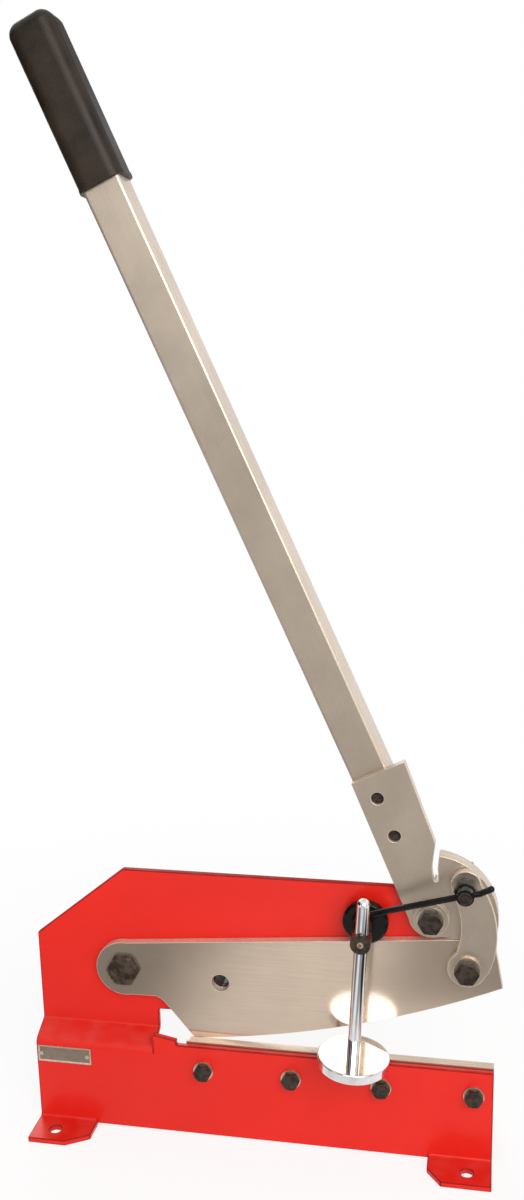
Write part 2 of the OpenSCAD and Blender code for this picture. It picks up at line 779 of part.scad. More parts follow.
module holddown_rod() color(chrome) on_rod() {
    translate([0, 0, -pad_drop]) cylinder(d = rod_d, h = pad_drop + rod_above - rod_d / 2);
    translate([0, 0, rod_above - rod_d / 2]) sphere(d = rod_d);
}

module holddown_foot() color(chrome) on_rod() translate([0, 0, -pad_drop - pad_t]) {
    cylinder(r1 = pad_r - pad_edge, r2 = pad_r, h = pad_edge);
    translate([0, 0, pad_edge]) cylinder(r = pad_r, h = pad_t - 2 * pad_edge);
    translate([0, 0, pad_t - pad_edge]) cylinder(r1 = pad_r, r2 = pad_r - pad_edge, h = pad_edge);
}

frame_plate();
rear_foot_left();
rear_foot_right();
rear_gussets();
lower_blade();
lower_blade_bolts();
lower_blade_washers();
name_plate();
plate_rivets();
bar_die();
blade_pivot_bolt();
blade_pivot_washer();
blade_pivot_nut();
lever_pivot_bolt();
lever_pivot_washer();
lever_back_washer();
lever_pivot_nut();
upper_blade();
blade_bush();
link_plate();
link_pin();
link_washer();
lever_bracket();
ear_doubler();
hub_bush();
lever_tube();
tube_bolts();
lever_grip();
crank_pin();
crank_nut();
hook_retainer();
safety_hook();
clamp_spacer();
clamp_disc();
clamp_washer();
clamp_stud();
clamp_nut();
clamp_screw();
holddown_rod();
holddown_foot();
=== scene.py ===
"""Dresses the bench lever shear: finishes, welds, threads, grip and studio around its solids."""

import json
import math
from itertools import combinations

import bpy
from bpy.props import FloatProperty, FloatVectorProperty, IntProperty, PointerProperty
from mathutils import Matrix, Vector


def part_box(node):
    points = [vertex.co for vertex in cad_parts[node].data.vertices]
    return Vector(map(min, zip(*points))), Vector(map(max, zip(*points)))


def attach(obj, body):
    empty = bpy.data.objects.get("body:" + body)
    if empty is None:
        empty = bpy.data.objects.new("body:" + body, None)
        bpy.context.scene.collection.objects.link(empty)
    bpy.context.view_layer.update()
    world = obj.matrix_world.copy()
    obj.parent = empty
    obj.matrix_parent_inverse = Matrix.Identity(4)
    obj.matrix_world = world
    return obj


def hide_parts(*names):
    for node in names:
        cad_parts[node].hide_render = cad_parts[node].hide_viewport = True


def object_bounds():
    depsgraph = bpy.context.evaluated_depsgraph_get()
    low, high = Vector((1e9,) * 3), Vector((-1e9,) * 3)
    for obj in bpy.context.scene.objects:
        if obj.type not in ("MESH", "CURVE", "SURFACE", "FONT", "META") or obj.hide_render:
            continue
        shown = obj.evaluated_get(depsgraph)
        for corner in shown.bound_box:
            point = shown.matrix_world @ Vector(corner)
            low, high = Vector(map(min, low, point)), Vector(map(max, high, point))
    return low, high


bl_info = {
    "name": "Bench Lever Shear Finishes",
    "version": (1, 0, 0),
    "blender": (4, 5, 0),
    "location": "3D View > Sidebar > Shear",
    "description": "Builds the finished surfaces of a bench lever shear around its solids",
    "category": "Object",
}

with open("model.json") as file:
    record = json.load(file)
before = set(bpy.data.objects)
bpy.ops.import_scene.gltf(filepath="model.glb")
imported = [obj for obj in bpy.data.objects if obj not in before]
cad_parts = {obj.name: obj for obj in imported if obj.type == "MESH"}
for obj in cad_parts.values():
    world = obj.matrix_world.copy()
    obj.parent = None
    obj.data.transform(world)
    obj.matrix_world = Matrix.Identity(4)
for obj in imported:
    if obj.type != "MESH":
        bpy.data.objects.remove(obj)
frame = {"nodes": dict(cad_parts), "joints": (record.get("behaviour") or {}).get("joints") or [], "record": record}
CAD_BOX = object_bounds()
NODES = frame["nodes"]
RECORD = frame["record"]
BODY_OF = {node: body for body, nodes in RECORD["behaviour"]["bodies"].items() for node in nodes}
SLOT_OF = {row["node"]: row["material_slot"] for row in RECORD["subparts"]}
JOINTS = {joint["name"]: joint for joint in frame["joints"]}

MM = 0.001

# Angles under which faces are joined as flat, over which edges are rounded, and under which two edges
# meet at a sliver that is too thin to round
FLAT = math.radians(0.3)
SHARP = math.radians(32)
SLIVER = math.radians(12)

# Corners of a solid's mesh that are nearer than this are one
SAME_PLACE = 0.001 * MM

# A plate's face is on its cut rim where its normal's Y is under this
RIM_NORMAL = 0.5

# A face of the tube is on its right side, and takes the lighter steel as a painted highlight, where its normal
# leans right by more than the first value, and its normal's Y is under the second
TUBE_LEAN = 0.1
TUBE_FACING = 0.995

# Directions of the lever and its pivot, as the record's joint gives it
LEVER_TILT = math.radians(23.7)
LEVER_PIVOT = Vector(JOINTS["lever_turn"]["pos_m"])
LEVER_UP = Vector((-math.sin(LEVER_TILT), 0, math.cos(LEVER_TILT)))
LEVER_RIGHT = Vector((math.cos(LEVER_TILT), 0, math.sin(LEVER_TILT)))

# The turn about Y that lays the grain along the lever
GRAIN_TURN = LEVER_TILT + math.pi / 2

# Sizes that the grip's lip, the welds and the plate's rims share with the solids
GRIP_START = 730 * MM
GRIP_WIDTH = 44 * MM
GRIP_CORNER = 12 * MM
TUBE_WIDTH = 36 * MM
TUBE_SHIFT = 0.5 * MM
TUBE_MIDDLE = 17.7 * MM
PLATE = 6 * MM
NECK_TOP = 130 * MM

# Rounding of the small parts' edges
BOLT_EDGE = 0.35 * MM
BUSH_EDGE = 0.3 * MM
DISC_EDGE = 0.5 * MM
RIVET_EDGE = 0.2 * MM

# The gap between the tube and the lip of its grip
LIP_GAP = 0.1 * MM

# A thread's depth as a share of its bolt's radius, and how much of that depth is sunk in the bolt
THREAD_DEPTH = 0.12
THREAD_SUNK = 0.3
THREAD_SIDES = 6
THREAD_STEPS = 48

# Radius of the weld beads on the feet and on their webs
FOOT_WELD = 2.4 * MM
WEB_WELD = 0.7 * FOOT_WELD

# A bead's ripple: its length, the stations along it, and its swell as a share of the bead's radius
RIPPLE = 2.2 * MM
RIPPLE_STATIONS = 3
RIPPLE_SWELL = 0.12

# The name plate's raised rim, the step down to its face, the rim's rounding, and the angle that is rounded
RIM_WIDTH = 1.4 * MM
RIM_STEP = 0.3 * MM
RIM_EDGE = 0.15 * MM
RIM_SHARP = math.radians(60)

# The blackened parts whose finish differs from the other bolts'
FINISH_OF = {"clamp_screw": "worn", "blade_pivot_bolt": "worn_black", "bar_die": "hook"}

# Each bolt whose end shows behind its nut, and its radius
THREADED = {
    "blade_pivot_bolt": ("blade_pivot_nut", 10 * MM),
    "lever_pivot_bolt": ("lever_pivot_nut", 7 * MM),
    "crank_pin": ("crank_nut", 6 * MM),
    "clamp_stud": ("clamp_nut", 7 * MM),
}

# The photograph's frame, in pixels, with its focal length and optical centre
PHOTO_SIZE = (524, 1200)
PHOTO_FOCAL = 1159.36
PHOTO_CENTRE = (268.67, 643.14)
SENSOR = 36
CAMERA_AT = Vector((0.21914, -1.02720, 0.76217))
CAMERA_FORWARD = Vector((-0.18771, 0.95476, -0.23064))
CAMERA_UP = Vector((-0.02268, 0.23054, 0.97280))

# Where the floor's fade to plain white starts and ends, in metres from the middle, and its share at the start
FADE_START = 0.3
FADE_END = 1.1
FADE_SHARE = 0.82

# Cards that only mirror-like surfaces see: name, place, the point it faces, width, height and tone.
# A card with no point faces the object's middle.
CARDS = (
    ("Front card", (-0.6, -3.6, 0.9), None, 5.0, 3.8, 0.42),
    ("Left card", (-3.0, -0.8, 1.3), None, 3.2, 4.0, 0.03),
    ("Left back card", (-3.0, 1.2, 0.9), (-0.2, 0, 0.7), 3.0, 3.6, 0.02),
    ("Right card", (2.6, -1.4, 0.5), None, 0.8, 2.6, 0.25),
    ("High back card", (0.2, 3.0, 3.0), None, 3.4, 2.0, 0.06),
    ("Upper left card", (-1.6, -2.5, 2.1), (-0.15, 0, 1.0), 1.8, 1.5, 0.02),
    ("Soft box", (-0.2, -2.6, 1.57), (0.108, 0, 0.15), 1.6, 1.4, 4.5),
    ("Left floor card", (-0.40, -0.34, 0.004), (-0.40, -0.34, -1), 0.7, 0.55, 0.22),
    ("Right floor card", (0.26, -0.42, 0.005), (0.26, -0.42, -1), 0.42, 0.4, 0.35),
    ("Rod card", (0.44, -0.18, 0.006), (0.44, -0.18, -1), 0.34, 0.4, 0.03),
    ("Far floor card", (0.10, -0.95, 0.003), (0.10, -0.95, -1), 1.8, 0.9, 0.55),
)


class PaintSettings(bpy.types.PropertyGroup):
    """Enamel of the frame."""

    face: FloatVectorProperty(
        name="Enamel", description="Colour of the enamel on open faces",
        subtype="COLOR", size=3, min=0, max=1, default=(0.740, 0.018, 0.010),
    )
    # The darker red on cut edges and on the upper plate's rim is painted shade
    edge: FloatVectorProperty(
        name="Edge", description="Colour of the painted shade along cut edges",
        subtype="COLOR", size=3, min=0, max=1, default=(0.380, 0.014, 0.010),
    )
    edge_round: FloatProperty(
        name="Edge rounding", description="Width of the rounded cut edges",
        subtype="DISTANCE", min=0.0002, max=0.002, default=1.2 * MM,
    )


class SteelSettings(bpy.types.PropertyGroup):
    """Bare and plated steel of the blades, lever and link."""

    blade: FloatVectorProperty(
        name="Blade", description="Colour of the ground blades",
        subtype="COLOR", size=3, min=0, max=1, default=(0.620, 0.500, 0.395),
    )
    lever: FloatVectorProperty(
        name="Lever", description="Colour of the lever, bracket and link",
        subtype="COLOR", size=3, min=0, max=1, default=(0.450, 0.375, 0.300),
    )
    edge_round: FloatProperty(
        name="Edge rounding", description="Width of the broken edges on steel plates",
        subtype="DISTANCE", min=0.0001, max=0.002, default=0.6 * MM,
    )


class FastenerSettings(bpy.types.PropertyGroup):
    """Bolts, nuts and washers."""

    black: FloatVectorProperty(
        name="Blacking", description="Colour of the blackened bolts",
        subtype="COLOR", size=3, min=0, max=1, default=(0.032, 0.022, 0.015),
    )
    zinc: FloatVectorProperty(
        name="Zinc", description="Colour of the plated washers",
        subtype="COLOR", size=3, min=0, max=1, default=(0.720, 0.610, 0.480),
    )
    turns: IntProperty(
        name="Thread turns", description="Turns of thread shown on each bolt's end",
        min=1, max=4, default=2,
    )


class GripSettings(bpy.types.PropertyGroup):
    """Moulded grip on the lever."""

    colour: FloatVectorProperty(
        name="Rubber", description="Colour of the grip",
        subtype="COLOR", size=3, min=0, max=1, default=(0.020, 0.012, 0.007),
    )
    lip: FloatProperty(
        name="Lip", description="How far the lip at the open end stands out",
        subtype="DISTANCE", min=0.0002, max=0.003, default=0.4 * MM,
    )
    lip_height: FloatProperty(
        name="Lip height", description="Height of the lip along the lever",
        subtype="DISTANCE", min=0.001, max=0.010, default=4 * MM,
    )


class StageSettings(bpy.types.PropertyGroup):
    """Floor, lamps and the tone of the surroundings."""

    floor: FloatProperty(
        name="Floor size", description="Side of the square floor",
        subtype="DISTANCE", min=2, max=40, default=16,
    )
    ambient: FloatProperty(
        name="Ambient", description="Strength of the soft light from all around",
        min=0, max=2, default=0.55,
    )
    key: FloatProperty(
        name="Key", description="Power of the large lamp in front, at the upper right, in watts",
        min=0, max=200, default=68,
    )
    back: FloatProperty(
        name="Back lamp", description="Power of the lamp behind, at the upper left, in watts",
        min=0, max=200, default=24,
    )


SETTINGS = {
    "shear_paint": PaintSettings,
    "shear_steel": SteelSettings,
    "shear_fasteners": FastenerSettings,
    "shear_grip": GripSettings,
    "shear_stage": StageSettings,
}


# Shader node groups


def new_group(name, inputs, outputs):
    """A shader node group with named sockets, and its input and output nodes."""
    tree = bpy.data.node_groups.new(name, "ShaderNodeTree")
    for label, kind, default in inputs:
        socket = tree.interface.new_socket(name=label, in_out="INPUT", socket_type=kind)
        socket.default_value = default
    for label, kind in outputs:
        tree.interface.new_socket(name=label, in_out="OUTPUT", socket_type=kind)
    return tree, tree.nodes.new("NodeGroupInput"), tree.nodes.new("NodeGroupOutput")


def noise(tree, vector, scale, detail=3.0, roughness=0.5):
    """A noise texture that reads a vector socket."""
    node = tree.nodes.new("ShaderNodeTexNoise")
    node.inputs["Detail"].default_value = detail
    node.inputs["Roughness"].default_value = roughness
    if isinstance(scale, float):
        node.inputs["Scale"].default_value = scale
    else:
        tree.links.new(scale, node.inputs["Scale"])
    tree.links.new(vector, node.inputs["Vector"])
    return node.outputs["Fac"]


def ramp(tree, value, low, high):
    """Spreads a value between two levels to 0 to 1."""
    node = tree.nodes.new("ShaderNodeMapRange")
    node.interpolation_type = "SMOOTHSTEP"
    node.inputs["From Min"].default_value = low
    node.inputs["From Max"].default_value = high
    tree.links.new(value, node.inputs["Value"])
    return node.outputs["Result"]


def maths(tree, operation, first, second):
    """A math node of two values, each a socket or a number."""
    node = tree.nodes.new("ShaderNodeMath")
    node.operation = operation
    for index, value in enumerate((first, second)):
        if isinstance(value, (int, float)):
            node.inputs[index].default_value = value
        else:
            tree.links.new(value, node.inputs[index])
    return node.outputs[0]


def blend_colours(tree, factor, first, second):
    """Mixes two colours, each a socket or a tuple, by a factor socket."""
    node = tree.nodes.new("ShaderNodeMix")
    node.data_type = "RGBA"
    tree.links.new(factor, node.inputs["Factor"])
    for name, value in (("A", first), ("B", second)):
        socket = next(s for s in node.inputs if s.name == name and s.type == "RGBA")
        if isinstance(value, tuple):
            socket.default_value = (*value, 1)
        else:
            tree.links.new(value, socket)
    return next(s for s in node.outputs if s.type == "RGBA")


def tone_drift_group():
    """Slow changes of tone over a surface, as in paint or rolled plate."""
    tree, source, sink = new_group(
        "Tone drift",
        [("Vector", "NodeSocketVector", (0, 0, 0)), ("Scale", "NodeSocketFloat", 8.0),
         ("Light", "NodeSocketColor", (1, 1, 1, 1)), ("Dark", "NodeSocketColor", (0.5, 0.5, 0.5, 1))],
        [("Color", "NodeSocketColor"), ("Mask", "NodeSocketFloat")],
    )
    mask = ramp(tree, noise(tree, source.outputs["Vector"], source.outputs["Scale"], 4.0, 0.6), 0.32, 0.72)
    tree.links.new(mask, sink.inputs["Mask"])
    colour = blend_colours(tree, mask, source.outputs["Dark"], source.outputs["Light"])
    tree.links.new(colour, sink.inputs["Color"])
    return tree


def grain_group():
    """Fine lines left by grinding or rolling, along the X of the given vector."""
    tree, source, sink = new_group(
        "Brushed grain",
        [("Vector", "NodeSocketVector", (0, 0, 0)), ("Fineness", "NodeSocketFloat", 900.0),
         ("Stretch", "NodeSocketFloat", 0.03)],
        [("Height", "NodeSocketFloat"), ("Mask", "NodeSocketFloat")],
    )
    scale = tree.nodes.new("ShaderNodeCombineXYZ")
    tree.links.new(source.outputs["Stretch"], scale.inputs["X"])
    scale.inputs["Y"].default_value = 1
    scale.inputs["Z"].default_value = 1
    stretched = tree.nodes.new("ShaderNodeVectorMath")
    stretched.operation = "MULTIPLY"
    tree.links.new(source.outputs["Vector"], stretched.inputs[0])
    tree.links.new(scale.outputs["Vector"], stretched.inputs[1])
    fine = noise(tree, stretched.outputs["Vector"], source.outputs["Fineness"], 2.0, 0.6)
    coarse_scale = maths(tree, "MULTIPLY", source.outputs["Fineness"], 0.3)
    coarse = noise(tree, stretched.outputs["Vector"], coarse_scale, 2.0, 0.5)
    height = maths(tree, "ADD", maths(tree, "MULTIPLY", fine, 0.65), maths(tree, "MULTIPLY", coarse, 0.35))
    tree.links.new(height, sink.inputs["Height"])
    tree.links.new(ramp(tree, height, 0.38, 0.62), sink.inputs["Mask"])
    return tree


def pebble_group():
    """Small rounded bumps, as orange peel in enamel or the texture of moulded rubber."""
    tree, source, sink = new_group(
        "Pebble",
        [("Vector", "NodeSocketVector", (0, 0, 0)), ("Scale", "NodeSocketFloat", 400.0)],
        [("Height", "NodeSocketFloat")],
    )
    tree.links.new(
        noise(tree, source.outputs["Vector"], source.outputs["Scale"], 1.5, 0.4), sink.inputs["Height"]
    )
    return tree


def scuff_group():
    """Sparse short marks and specks where a surface has been rubbed."""
    tree, source, sink = new_group(
        "Scuffs",
        [("Vector", "NodeSocketVector", (0, 0, 0)), ("Scale", "NodeSocketFloat", 60.0)],
        [("Mask", "NodeSocketFloat")],
    )
    where = ramp(tree, noise(tree, source.outputs["Vector"], source.outputs["Scale"], 2.0), 0.56, 0.70)
    speck_scale = maths(tree, "MULTIPLY", source.outputs["Scale"], 11.0)
    specks = ramp(tree, noise(tree, source.outputs["Vector"], speck_scale, 4.0, 0.7), 0.55, 0.66)
    tree.links.new(maths(tree, "MULTIPLY", where, specks), sink.inputs["Mask"])
    return tree


def dust_group():
    """Dust and oil film that lies on faces that look up."""
    tree, source, sink = new_group(
        "Settled dust",
        [("Vector", "NodeSocketVector", (0, 0, 0)), ("Amount", "NodeSocketFloat", 0.2)],
        [("Mask", "NodeSocketFloat")],
    )
    geometry = tree.nodes.new("ShaderNodeNewGeometry")
    split = tree.nodes.new("ShaderNodeSeparateXYZ")
    tree.links.new(geometry.outputs["Normal"], split.inputs[0])
    up = ramp(tree, split.outputs["Z"], 0.35, 0.95)
    patchy = ramp(tree, noise(tree, source.outputs["Vector"], 55.0, 3.0), 0.35, 0.65)
    mask = maths(tree, "MULTIPLY", maths(tree, "MULTIPLY", up, patchy), source.outputs["Amount"])
    tree.links.new(mask, sink.inputs["Mask"])
    return tree


# Materials


class Finish:
    """A material with a Principled shader, and short calls that place the shared groups in it."""

    def __init__(self, name, turn=0.0, **constants):
        self.material = bpy.data.materials.new(name)
        self.material.use_nodes = True
        self.tree = self.material.node_tree
        self.shader = self.tree.nodes["Principled BSDF"]
        for label, value in constants.items():
            self.shader.inputs[label.replace("_", " ")].default_value = value
        coordinates = self.tree.nodes.new("ShaderNodeTexCoord")
        mapping = self.tree.nodes.new("ShaderNodeMapping")
        mapping.inputs["Rotation"].default_value = (0, turn, 0)
        self.tree.links.new(coordinates.outputs["Object"], mapping.inputs["Vector"])
        self.vector = mapping.outputs["Vector"]

    def place(self, group, **values):
        """Places a shared group, and gives its node."""
        node = self.tree.nodes.new("ShaderNodeGroup")
        node.node_tree = GROUP[group]
        self.tree.links.new(self.vector, node.inputs["Vector"])
        for label, value in values.items():
            node.inputs[label].default_value = (*value, 1) if isinstance(value, tuple) else value
        return node

    def mix(self, factor, first, second):
        """Mixes two colours by a mask."""
        return blend_colours(self.tree, factor, first, second)

    def spread(self, mask, low, high):
        """Takes a mask from 0 to 1 to the range of a shader's value."""
        node = self.tree.nodes.new("ShaderNodeMapRange")
        node.inputs["To Min"].default_value = low
        node.inputs["To Max"].default_value = high
        self.tree.links.new(mask, node.inputs["Value"])
        return node.outputs["Result"]

    def lay(self, marks, share, ground, colour):
        """Lays a colour over the ground where the marks' mask says, by the given share at most."""
        return self.mix(self.spread(marks.outputs["Mask"], 0, share), ground, colour)

    def feed(self, label, socket):
        """Links a changing value to the shader."""
        self.tree.links.new(socket, self.shader.inputs[label])

    def bump(self, height, depth, strength):
        """Bumps the surface by a height of the given depth."""
        node = self.tree.nodes.new("ShaderNodeBump")
        node.inputs["Strength"].default_value = strength
        node.inputs["Distance"].default_value = depth
        self.tree.links.new(height, node.inputs["Height"])
        self.tree.links.new(node.outputs["Normal"], self.shader.inputs["Normal"])


def shade(colour, factor):
    """A colour made darker or lighter."""
    return tuple(min(1.0, channel * factor) for channel in colour)


def enamel(name, colour, dark=0.80, gloss=0.20):
    """Red gloss enamel, sprayed, with a little orange peel, dust and scuffs."""
    finish = Finish(name, Coat_Weight=0.5 * gloss, Coat_Roughness=0.10, Specular_IOR_Level=gloss)
    drift = finish.place("tone", Scale=5.0, Light=shade(colour, 1.04), Dark=shade(colour, dark))
    dust = finish.place("dust", Amount=0.06)
    scuffs = finish.place("scuffs", Scale=45.0)
    dusted = finish.mix(dust.outputs["Mask"], drift.outputs["Color"], (0.62, 0.36, 0.32))
    marked = finish.lay(scuffs, 0.25, dusted, shade(colour, 0.6))
    finish.feed("Base Color", marked)
    finish.feed("Roughness", finish.spread(drift.outputs["Mask"], 0.36, 0.27))
    finish.bump(finish.place("pebble", Scale=330.0).outputs["Height"], 0.10 * MM, 0.5)
    return finish.material


def steel(name, colour, turn=0.0, smooth=0.30, rough=0.42, metal=0.85, drift=16.0, stretch=0.03):
    """Bare or plated steel with grain along one direction, and a slow drift of tone."""
    finish = Finish(name, turn, Metallic=metal, Anisotropic=0.25)
    tone = finish.place("tone", Scale=drift, Light=shade(colour, 1.05), Dark=shade(colour, 0.90))
    grain = finish.place("grain", Fineness=2600.0, Stretch=stretch)
    scuffs = finish.place("scuffs", Scale=70.0)
    lined = finish.lay(grain, 0.16, tone.outputs["Color"], shade(colour, 0.6))
    marked = finish.lay(scuffs, 0.20, lined, shade(colour, 0.5))
    finish.feed("Base Color", marked)
    finish.feed("Roughness", finish.spread(grain.outputs["Mask"], smooth, rough))
    finish.bump(grain.outputs["Height"], 0.03 * MM, 0.3)
    return finish.material


def blacked(name, colour, wear=0.6):
    """Blackened steel, oily, with brown drifting through its tone, rubbed bright in specks."""
    finish = Finish(name, Specular_IOR_Level=0.22)
    tone = finish.place("tone", Scale=160.0, Light=shade(colour, 1.7), Dark=shade(colour, 0.45))
    scuffs = finish.place("scuffs", Scale=240.0)
    rubbed = finish.lay(scuffs, wear, tone.outputs["Color"], (0.20, 0.16, 0.12))
    finish.feed("Base Color", rubbed)
    finish.feed("Metallic", finish.spread(scuffs.outputs["Mask"], 0, wear))
    finish.feed("Roughness", finish.spread(tone.outputs["Mask"], 0.22, 0.36))
    finish.bump(finish.place("pebble", Scale=1500.0).outputs["Height"], 0.05 * MM, 0.4)
    return finish.material


def gloss_black(name):
    """Black lacquer."""
    finish = Finish(name, Specular_IOR_Level=0.16)
    tone = finish.place("tone", Scale=60.0, Light=(0.012, 0.010, 0.008), Dark=(0.004, 0.004, 0.004))
    finish.feed("Base Color", tone.outputs["Color"])
    finish.feed("Roughness", finish.spread(tone.outputs["Mask"], 0.14, 0.26))
    finish.bump(finish.place("pebble", Scale=500.0).outputs["Height"], 0.06 * MM, 0.4)
    return finish.material


def plated(name, colour, low, high, scale=90.0):
    """Bright plating with faint clouds: zinc, chrome or bronze."""
    finish = Finish(name, Metallic=1.0)
    tone = finish.place("tone", Scale=scale, Light=shade(colour, 1.04), Dark=shade(colour, 0.84))
    grain = finish.place("grain", Fineness=1600.0, Stretch=0.2)
    clouded = finish.lay(grain, 0.06, tone.outputs["Color"], shade(colour, 0.7))
    finish.feed("Base Color", clouded)
    finish.feed("Roughness", finish.spread(tone.outputs["Mask"], high, low))
    return finish.material


def moulded_rubber(name, colour):
    """Soft gloss of a dipped or moulded grip, with a fine leathery texture."""
    finish = Finish(name, LEVER_TILT, Specular_IOR_Level=0.22)
    tone = finish.place("tone", Scale=26.0, Light=shade(colour, 1.5), Dark=shade(colour, 0.62))
    dust = finish.place("dust", Amount=0.05)
    scuffs = finish.place("scuffs", Scale=110.0)
    dusted = finish.mix(dust.outputs["Mask"], tone.outputs["Color"], (0.16, 0.13, 0.10))
    rubbed = finish.lay(scuffs, 0.4, dusted, (0.085, 0.064, 0.052))
    finish.feed("Base Color", rubbed)
    finish.feed("Roughness", finish.spread(tone.outputs["Mask"], 0.36, 0.48))
    finish.bump(finish.place("pebble", Scale=700.0).outputs["Height"], 0.20 * MM, 0.55)
    return finish.material


GROUP = {}
MATERIAL = {}


def make_materials(scene):
    """Builds the shared groups and every material once."""
    red = tuple(scene.shear_paint.face)
    blade = tuple(scene.shear_steel.blade)
    lever = tuple(scene.shear_steel.lever)
    black = tuple(scene.shear_fasteners.black)
    GROUP.update(
        tone=tone_drift_group(), grain=grain_group(), pebble=pebble_group(),
        scuffs=scuff_group(), dust=dust_group(),
    )
    MATERIAL.update(
        enamel=enamel("Red enamel", red, 0.92),
        # A darker, duller copy of the red on cut edges and the upper plate's rim: painted shade along the edges
        enamel_edge=enamel("Red enamel, painted shade on edges", tuple(scene.shear_paint.edge), gloss=0.04),
        blade=steel("Ground blade steel", blade, smooth=0.12, rough=0.20, drift=6.0, stretch=0.008),
        # A lighter copy of the blade steel on the blades' cut rims and rounded edges: a painted highlight
        blade_edge=steel("Blade steel with painted highlight", shade(blade, 1.25), smooth=0.24, rough=0.34, metal=0.4),
        tube=steel("Lever tube steel", shade(lever, 0.92), GRAIN_TURN, metal=0.6, stretch=0.008),
        bracket=steel("Bracket steel", shade(lever, 1.15), GRAIN_TURN, smooth=0.32, rough=0.46),
        # A lighter copy of the lever steel on rounded edges, cut rims and the tube's right side: a painted
        # highlight
        steel_edge=steel("Steel edge with painted highlight", shade(lever, 1.5), GRAIN_TURN, 0.24, 0.34, metal=0.4),
        bolt=blacked("Blackened bolt steel", black),
        worn_black=blacked("Rubbed bolt steel", shade(black, 1.5), 0.9),
        worn=blacked("Worn bolt steel", shade(black, 10), 0.7),
        hook=gloss_black("Black lacquer"),
        washer=plated("Zinc plating", tuple(scene.shear_fasteners.zinc), 0.26, 0.38),
        chrome=plated("Polished chrome", (0.83, 0.82, 0.82), 0.045, 0.09, 30.0),
        bronze=plated("Bush bronze", (0.55, 0.40, 0.20), 0.30, 0.42),
        grip=moulded_rubber("Grip rubber", tuple(scene.shear_grip.colour)),
        label=plated("Satin label metal", (0.40, 0.32, 0.25), 0.38, 0.50, 140.0),
        label_rim=plated("Raised label rim", (0.86, 0.76, 0.64), 0.24, 0.34, 200.0),
        weld=enamel("Enamel over weld", shade(red, 0.86), 0.7),
    )


# Modelling helpers


def only(piece):
    """Makes a piece the one selected and active object."""
    bpy.ops.object.select_all(action="DESELECT")
    piece.select_set(True)
    bpy.context.view_layer.objects.active = piece


def edit(piece):
    """Opens a piece in edit mode with all of it selected."""
    only(piece)
    bpy.ops.object.mode_set(mode="EDIT")
    bpy.ops.mesh.select_all(action="SELECT")


def close():
    """Leaves edit mode."""
    bpy.ops.object.mode_set(mode="OBJECT")


def newest(name):
    """The object that an operator has just added, with its name set."""
    piece = bpy.context.view_layer.objects.active
    piece.name = name
    return piece


def apply_modifier(piece, kind, **settings):
    """Adds a modifier with its settings and applies it."""
    only(piece)
    modifier = piece.modifiers.new(kind.title(), kind)
    for label, value in settings.items():
        setattr(modifier, label, value)
    bpy.ops.object.modifier_apply(modifier=modifier.name)


def settle(piece):
    """Applies a piece's place, so that its object sits at the origin."""
    only(piece)
    bpy.ops.object.transform_apply(location=True, rotation=True, scale=True)


def smooth(piece):
    """Smooth shading that keeps sharp edges, with flat faces kept flat."""
    only(piece)
    bpy.ops.object.shade_smooth_by_angle(angle=SHARP)
    apply_modifier(piece, "WEIGHTED_NORMAL", keep_sharp=True, weight=80)


def edge_away(mesh, edge, corner):
    """The direction of an edge, away from one of its ends."""
    start, end = edge.vertices
    other = end if start == corner else start
    return mesh.vertices[other].co - mesh.vertices[corner].co


def mark_sharp_edges(piece, limit):
    """Marks the sharp edges of a piece for rounding, but not those that meet at a sliver."""
    edit(piece)
    bpy.ops.mesh.select_mode(type="EDGE")
    bpy.ops.mesh.select_all(action="DESELECT")
    bpy.ops.mesh.edges_select_sharp(sharpness=limit)
    close()
    mesh = piece.data
    meeting = {}
    for edge in mesh.edges:
        if edge.select:
            for corner in edge.vertices:
                meeting.setdefault(corner, []).append(edge)
    slivers = set()
    for corner, edges in meeting.items():
        for first, second in combinations(edges, 2):
            if edge_away(mesh, first, corner).angle(edge_away(mesh, second, corner)) < SLIVER:
                slivers.update((first.index, second.index))
    marks = mesh.attributes.new("bevel_weight_edge", "FLOAT", "EDGE")
    for edge in mesh.edges:
        marks.data[edge.index].value = float(edge.select and edge.index not in slivers)


def bevel(piece, width, segments=2, material=-1, limit=SHARP):
    """Rounds the sharp edges of a piece."""
    mark_sharp_edges(piece, limit)
    apply_modifier(
        piece, "BEVEL", width=width, segments=segments, limit_method="WEIGHT",
        material=material, use_clamp_overlap=False, miter_outer="MITER_ARC",
    )


def paint(piece, *names):
    """Gives a piece its materials, the faces' first."""
    piece.data.materials.clear()
    for name in names:
        piece.data.materials.append(MATERIAL[name])


def finish_piece(piece, body, slot, *nodes):
    """Ties a finished piece to its body, and hides the solids that it stands for. Its slot is not used."""
    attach(piece, body)
    if nodes:
        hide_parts(*nodes)
    return piece


def dress(node, width, face, edge=None, segments=2, rim=False):
    """A copy of a solid in its place, with rounded edges, its finish and, on a plate, its cut rim's."""
    piece = bpy.data.objects.new("finished_" + node, NODES[node].data.copy())
    bpy.context.collection.objects.link(piece)
    edit(piece)
    bpy.ops.mesh.remove_doubles(threshold=SAME_PLACE)
    bpy.ops.mesh.dissolve_limited(angle_limit=FLAT)
    close()
    bpy.ops.mesh.customdata_custom_splitnormals_clear()
    paint(piece, face, edge or face)
    # The cut rim and the rounded edges take the second material: on steel a lighter copy, a painted highlight; on
    # enamel a darker copy, painted shade
    if rim:
        for side in piece.data.polygons:
            side.material_index = int(abs(side.normal.y) < RIM_NORMAL)
    if width:
        bevel(piece, width, segments, material=1)
    smooth(piece)
    return finish_piece(piece, BODY_OF[node], SLOT_OF[node], node)


